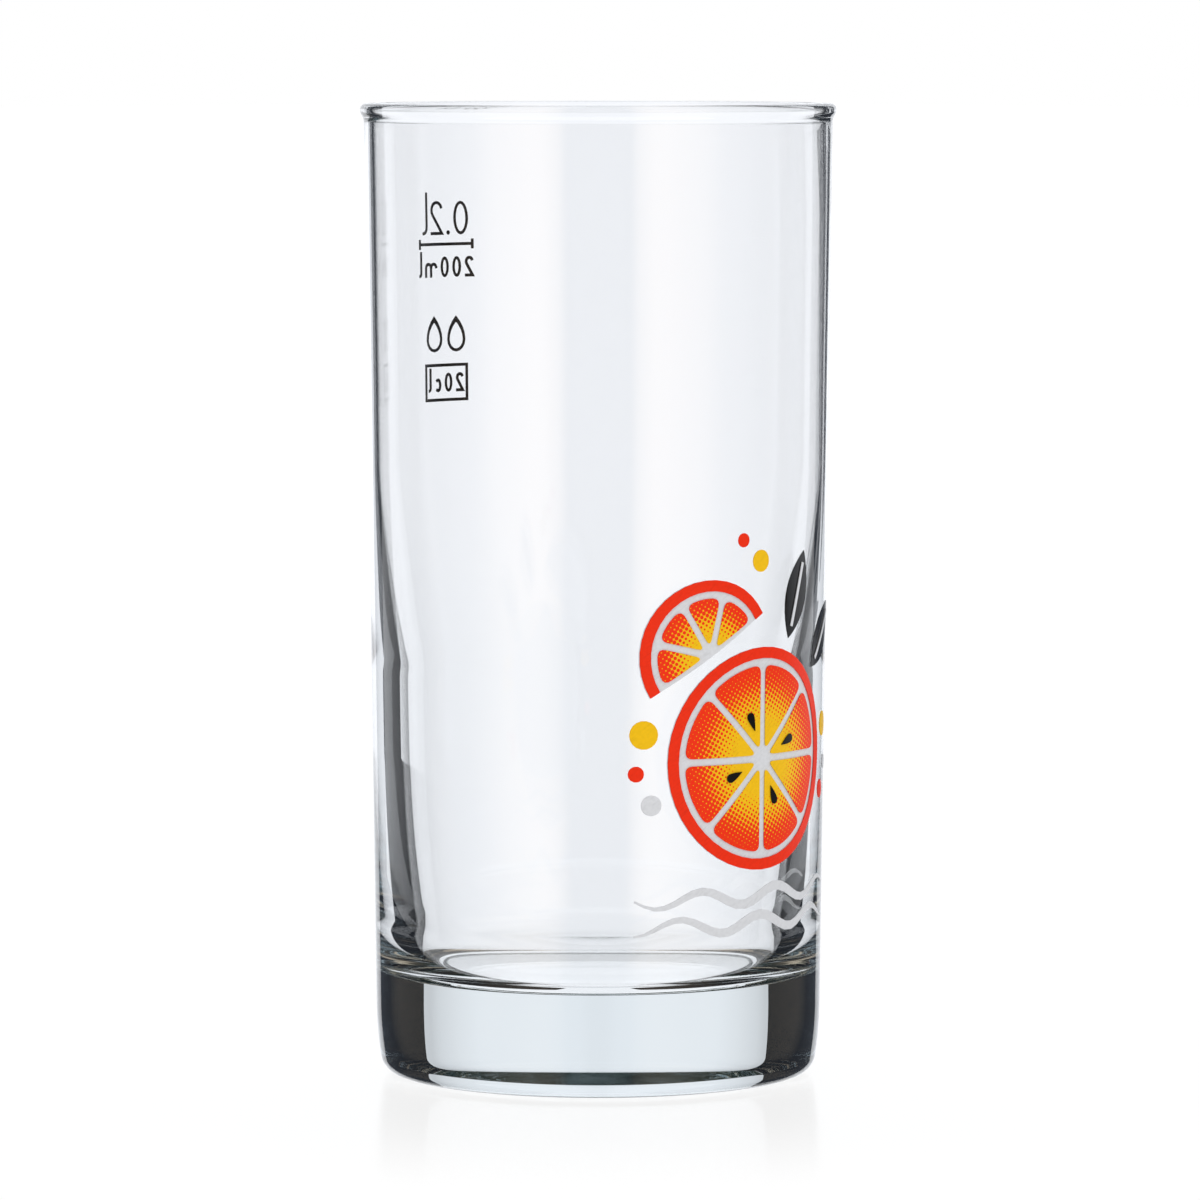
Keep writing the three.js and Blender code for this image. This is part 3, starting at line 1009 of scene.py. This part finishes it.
@dataclass
class CitrusSlice(FilmGroup):
    """The half slice above the wheel."""

    segments: int = 4

    def listed(self) -> Iterable[tuple[str, EnamelFinish]]:
        """Names the slice's films with their inks.

        Yields:
            A film's name and its ink.
        """
        yield "slice_pith", self.inks.silver
        yield "slice_rind", self.inks.red
        for k in range(1, self.segments + 1):
            yield f"slice_segment_{k}", self.inks.slice_flesh


@dataclass
class Leaves(FilmGroup):
    """The two leaves and their veins."""

    count: int = 2

    def listed(self) -> Iterable[tuple[str, EnamelFinish]]:
        """Names the leaves' films with their inks.

        Yields:
            A film's name and its ink.
        """
        for k in range(1, self.count + 1):
            yield f"leaf_{k}", self.inks.black
            yield f"leaf_vein_{k}", self.inks.silver


@dataclass
class Bubbles(FilmGroup):
    """The bubbles round the fruit."""

    inks_in_order: Sequence[Slot] = (
        Slot.YELLOW, Slot.RED, Slot.SILVER, Slot.YELLOW, Slot.SILVER, Slot.RED, Slot.YELLOW, Slot.RED,
    )

    def listed(self) -> Iterable[tuple[str, EnamelFinish]]:
        """Names the bubbles with their inks.

        Yields:
            A film's name and its ink.
        """
        plain = {ink.slot: ink for ink in (self.inks.yellow, self.inks.red, self.inks.silver)}
        for k, slot in enumerate(self.inks_in_order, start=1):
            yield f"bubble_{k}", plain[slot]


@dataclass
class Waves(FilmGroup):
    """The wave lines under the fruit."""

    count: int = 2

    def listed(self) -> Iterable[tuple[str, EnamelFinish]]:
        """Names the wave lines with their ink."""
        for k in range(1, self.count + 1):
            yield f"wave_{k}", self.inks.silver


@dataclass
class FillMark(FilmGroup):
    """The gauged line, its figures, the drops and the framed figures on the back."""

    side: Side = Side.BACK
    rows: Sequence[tuple[str, Sequence[str]]] = (
        ("litres", ("zero", "point", "two", "litre")),
        ("millilitres", ("two", "zero", "zero", "milli", "litre")),
        ("centilitres", ("two", "zero", "centi", "litre")),
    )

    def listed(self) -> Iterable[tuple[str, EnamelFinish]]:
        """Names the mark's films with their ink.

        Yields:
            A film's name and its ink.
        """
        for node in ("fill_line", "drop_left", "drop_right", "figure_frame"):
            yield node, self.inks.mark
        for row, kinds in self.rows:
            for k, kind in enumerate(kinds, start=1):
                yield f"{row}_{k}_{kind}", self.inks.mark


class Seen(Enum):
    """How a stage piece is seen."""

    BY_ALL = "by everything"
    BY_GLASS = "through the glass and reflected in it"
    THROUGH_GLASS = "through the glass only"
    REFLECTED = "reflected in the glass only"


@dataclass(frozen=True)
class Flag:
    """An upright screen beside the glass, in metres.

    Attributes:
        name: its name.
        side: its distance to the right of the axis.
        edges: from the bottom up, a height with the places of the near and the far edge there.
        level: its brightness.
        seen: how it is seen.
    """

    name: str
    side: float
    edges: Sequence[tuple[float, float, float]]
    level: float
    seen: Seen


@dataclass
class Studio:
    """Camera, pale floor and the panels and flags that a clear glass is lit with, in metres.

    Panels are laid out with +X to the camera's right, +Y away from it and the glass's axis at the origin.

    Attributes:
        azimuth: side of the glass that the camera faces, degrees.
        distance: distance of the camera from the axis.
        camera_height: height of the camera.
        aim_height: height that it looks at.
        aim_right: how far right of the axis it stands and looks.
        sensor: width of its sensor, mm.
        lens: its focal length, mm.
        floor_half: half width of the table top.
        floor_drop: gap between the table top and the foot.
        flag_list: the flags beside the glass.
        flag_tint: their colour.
        wall_radius: radius of the wall round the set.
        wall_low: height of its lower edge.
        wall_high: height of its upper edge.
        wall_steps: stretches of light round it.
        ceiling: height of the dark ceiling.
        ceiling_share: its radius, as a share of the wall's.
        ceiling_steps: corners of the ceiling.
        ceiling_tint: its colour.
        front: brightness of the wall by the degrees from the camera's direction.
        back: brightness of the rest of the wall by the degrees off straight back.
        front_tint: colour of the front light.
        back_tint: colour of the back light.
        bounces: how often light may cross or leave the glass.
    """

    azimuth: float = -45.0
    distance: float = 0.9524
    camera_height: float = 0.13426
    aim_height: float = 0.06036
    aim_right: float = 0.000237
    sensor: float = 36.0
    lens: float = 224.58
    floor_half: float = 8.0
    floor_drop: float = 0.0002
    flag_list: Sequence[Flag] = (
        Flag("flag_left", side=-0.101, level=0.012, seen=Seen.THROUGH_GLASS, edges=(
            (-0.5, -0.03, 0.162), (0.022, -0.03, 0.162), (0.03, 0.06, 0.162), (0.5, 0.06, 0.162),
        )),
        Flag("flag_right", side=0.101, level=0.012, seen=Seen.THROUGH_GLASS, edges=(
            (-0.5, -0.03, 0.154), (0.022, -0.03, 0.154), (0.03, 0.06, 0.154), (0.5, 0.06, 0.154),
        )),
        Flag("small_flag_right", side=0.05, level=0.012, seen=Seen.THROUGH_GLASS, edges=(
            (0.06, 0.05, 0.054), (0.084, 0.05, 0.079), (0.104, 0.05, 0.097), (0.125, 0.05, 0.097),
        )),
        Flag("grey_flag_left", side=-0.101, level=0.1, seen=Seen.REFLECTED, edges=(
            (-0.5, -0.03, 0.155), (0.006, -0.03, 0.155), (0.012, 0.08, 0.155), (0.5, 0.08, 0.155),
        )),
        Flag("grey_flag_right", side=0.101, level=0.1, seen=Seen.REFLECTED, edges=(
            (-0.5, -0.03, 0.155), (0.006, -0.03, 0.155), (0.012, 0.08, 0.23), (0.5, 0.08, 0.23),
        )),
    )
    flag_tint: Colour = (0.85, 0.97, 1.22)
    wall_radius: float = 0.85
    wall_low: float = -0.8
    wall_high: float = 0.9
    wall_steps: int = 1440
    ceiling: float = 0.55
    ceiling_share: float = 0.99
    ceiling_steps: int = 64
    ceiling_tint: Colour = (0.02, 0.035, 0.03)
    front: Sequence[Point] = (
        (0.0, 0.02), (16.0, 0.02), (20.0, 0.42), (27.0, 0.68), (35.0, 0.69), (50.0, 0.5), (58.0, 0.38),
        (66.0, 0.11), (89.0, 0.06), (95.0, 0.06),
    )
    back: Sequence[Point] = (
        (0.0, 1.01), (1.2, 1.01), (3.0, 1.04), (6.0, 1.05), (22.0, 1.025), (27.0, 0.95), (33.0, 0.83),
        (36.0, 0.72), (40.0, 0.75), (45.0, 0.8), (53.0, 0.74), (62.0, 0.68), (68.0, 0.5), (75.0, 0.18),
        (85.0, 0.06),
    )
    front_tint: Colour = (1.18, 0.95, 0.73)
    back_tint: Colour = (0.994, 1.018, 1.064)
    bounces: int = 64

    def __post_init__(self) -> None:
        """Works out how the studio is turned to face the camera."""
        self.turn = Matrix.Rotation(math.radians(self.azimuth), 4, "Z")

    def build(self) -> list[bpy.types.Object]:
        """Sets up the camera, floor, panels and world.

        Returns:
            The stage pieces.
        """
        camera = self.camera()
        pieces = [self.floor(), *self.flags(), self.wall(), self.lid()]
        for piece in pieces[1:]:
            piece.matrix_world = self.turn
            self.follow(piece, camera)
        self.world()
        return pieces

    def camera(self) -> bpy.types.Object:
        """Puts the camera where the photograph was taken from.

        Returns:
            The camera.
        """
        eye = self.turn @ Vector((self.aim_right, -self.distance, self.camera_height))
        aim = self.turn @ Vector((self.aim_right, 0.0, self.aim_height))
        lens = bpy.data.cameras.new("studio_camera")
        camera = bpy.data.objects.new("studio_camera", lens)
        bpy.context.scene.collection.objects.link(camera)
        camera.location = eye
        camera.rotation_mode = "QUATERNION"
        camera.rotation_quaternion = (aim - eye).to_track_quat("-Z", "Y")
        lens.sensor_width = self.sensor
        lens.lens = self.lens
        bpy.context.scene.camera = camera
        bpy.context.view_layer.update()
        return camera

    def follow(self, piece: bpy.types.Object, camera: bpy.types.Object) -> None:
        """Keeps a panel in its place before the camera.

        Args:
            piece: the panel.
            camera: the camera.
        """
        bpy.context.view_layer.update()
        place = piece.matrix_world.copy()
        piece.parent = camera
        piece.matrix_parent_inverse = camera.matrix_world.inverted()
        piece.matrix_world = place

    def panel(self, name: str, points: Sequence[Sequence[float]], faces: Sequence[Sequence[int]],
              finish: Callable[[], bpy.types.Material], seen: Seen) -> bpy.types.Object:
        """Makes a stage piece.

        Args:
            name: its name.
            points: its corners.
            faces: its faces.
            finish: makes its material.
            seen: which rays see it.

        Returns:
            The stage piece.
        """
        mesh = bpy.data.meshes.new(name)
        mesh.from_pydata(points, [], faces)
        mesh.materials.append(finish())
        piece = new_object(name, mesh)
        if seen is not Seen.BY_ALL:
            piece.visible_camera = False
            piece.visible_diffuse = False
            piece.visible_shadow = False
            piece.visible_transmission = seen is not Seen.REFLECTED
            piece.visible_glossy = seen is not Seen.THROUGH_GLASS
        return piece

    def floor(self) -> bpy.types.Object:
        """Lays the table top, which isn't seen through the glass or reflected in it.

        Returns:
            The table top.
        """
        half, z = self.floor_half, -self.floor_drop
        corners = [(-half, -half, z), (half, -half, z), (half, half, z), (-half, half, z)]
        piece = self.panel("table_top", corners, [(0, 1, 2, 3)], FloorFinish().material, Seen.BY_ALL)
        piece.visible_transmission = False
        piece.visible_glossy = False
        return piece

    def flags(self) -> list[bpy.types.Object]:
        """Stands the flags at both sides of the glass, which draw its dark edges.

        Returns:
            The flags.
        """
        pieces = []
        for flag in self.flag_list:
            corners = []
            for z, near, far in flag.edges:
                corners += [(flag.side, near, z), (flag.side, far, z)]
            faces = [(k, k + 1, k + 3, k + 2) for k in range(0, len(corners) - 2, 2)]
            glow = GlowFinish(flag.name, self.flag_tint, flag.level)
            pieces.append(self.panel(flag.name, corners, faces, glow.material, flag.seen))
        return pieces

    def glow(self, angle: float) -> Colour:
        """Light of the wall round the set.

        Args:
            angle: degrees from the camera's direction.

        Returns:
            The light's colour.
        """
        if angle < self.front[-1][0]:
            return scaled(self.front_tint, along(self.front, angle))
        return scaled(self.back_tint, along(self.back, 180.0 - angle))

    def wall(self) -> bpy.types.Object:
        """Stands the wall round the set: dark about the camera, soft boxes beside it, the lit sweep behind.

        Returns:
            The wall.
        """
        steps = self.wall_steps
        points, faces, colours = [], [], []
        for k in range(steps):
            angle = k * 360.0 / steps - 180.0
            x = self.wall_radius * math.sin(math.radians(angle))
            y = -self.wall_radius * math.cos(math.radians(angle))
            points += [(x, y, self.wall_low), (x, y, self.wall_high)]
            after = (k + 1) % steps
            faces.append((2 * k, 2 * after, 2 * after + 1, 2 * k + 1))
            colours.append(self.glow(abs(angle + 180.0 / steps)))
        faces.append(tuple(range(0, 2 * steps, 2)))
        colours.append(self.back_tint)
        light = GlowFinish("set_wall", attribute="light")
        piece = self.panel("set_wall", points, faces, light.material, Seen.BY_GLASS)
        store = piece.data.attributes.new("light", "FLOAT_COLOR", "FACE")
        for entry, colour in zip(store.data, colours):
            entry.color = (*colour, 1.0)
        return piece

    def lid(self) -> bpy.types.Object:
        """Hangs the dark ceiling over the set.

        Returns:
            The ceiling.
        """
        steps = self.ceiling_steps
        radius = self.wall_radius * self.ceiling_share
        turn = [2.0 * math.pi * k / steps for k in range(steps)]
        points = [(radius * math.cos(a), radius * math.sin(a), self.ceiling) for a in turn]
        glow = GlowFinish("ceiling", self.ceiling_tint)
        return self.panel("ceiling", points, [tuple(range(steps))], glow.material, Seen.BY_GLASS)

    def world(self) -> None:
        """Fills the set with even white light and lets light cross the glass often."""
        scene = bpy.context.scene
        scene.world = bpy.data.worlds.new("white_studio")
        scene.world.use_nodes = True
        light = scene.world.node_tree.nodes["Background"]
        light.inputs["Color"].default_value = (1.0, 1.0, 1.0, 1.0)
        light.inputs["Strength"].default_value = 1.0
        scene.view_settings.view_transform = "Standard"
        scene.cycles.max_bounces = self.bounces
        scene.cycles.transmission_bounces = self.bounces
        scene.cycles.glossy_bounces = self.bounces


def main() -> None:
    """Builds the glass, its enamels and the studio, and reports each piece."""
    logging.basicConfig(level=logging.INFO, format="%(name)s: %(message)s")
    body = GlassBody()
    piece = body.build()
    body.dress(piece)
    log.info("%s stands for %s", piece.name, body.node)
    films, inks = FilmMesh(body), Enamels()
    for group in (
        CitrusWheel(films, inks), CitrusSlice(films, inks), Leaves(films, inks), Bubbles(films, inks),
        Waves(films, inks), FillMark(films, inks),
    ):
        pieces = group.build()
        group.dress(pieces)
        for piece in pieces:
            log.info("%s laid on the wall, %d faces", piece.name, len(piece.data.polygons))
    for piece in Studio().build():
        log.info("%s set up", piece.name)


if __name__ == "__main__":
    main()
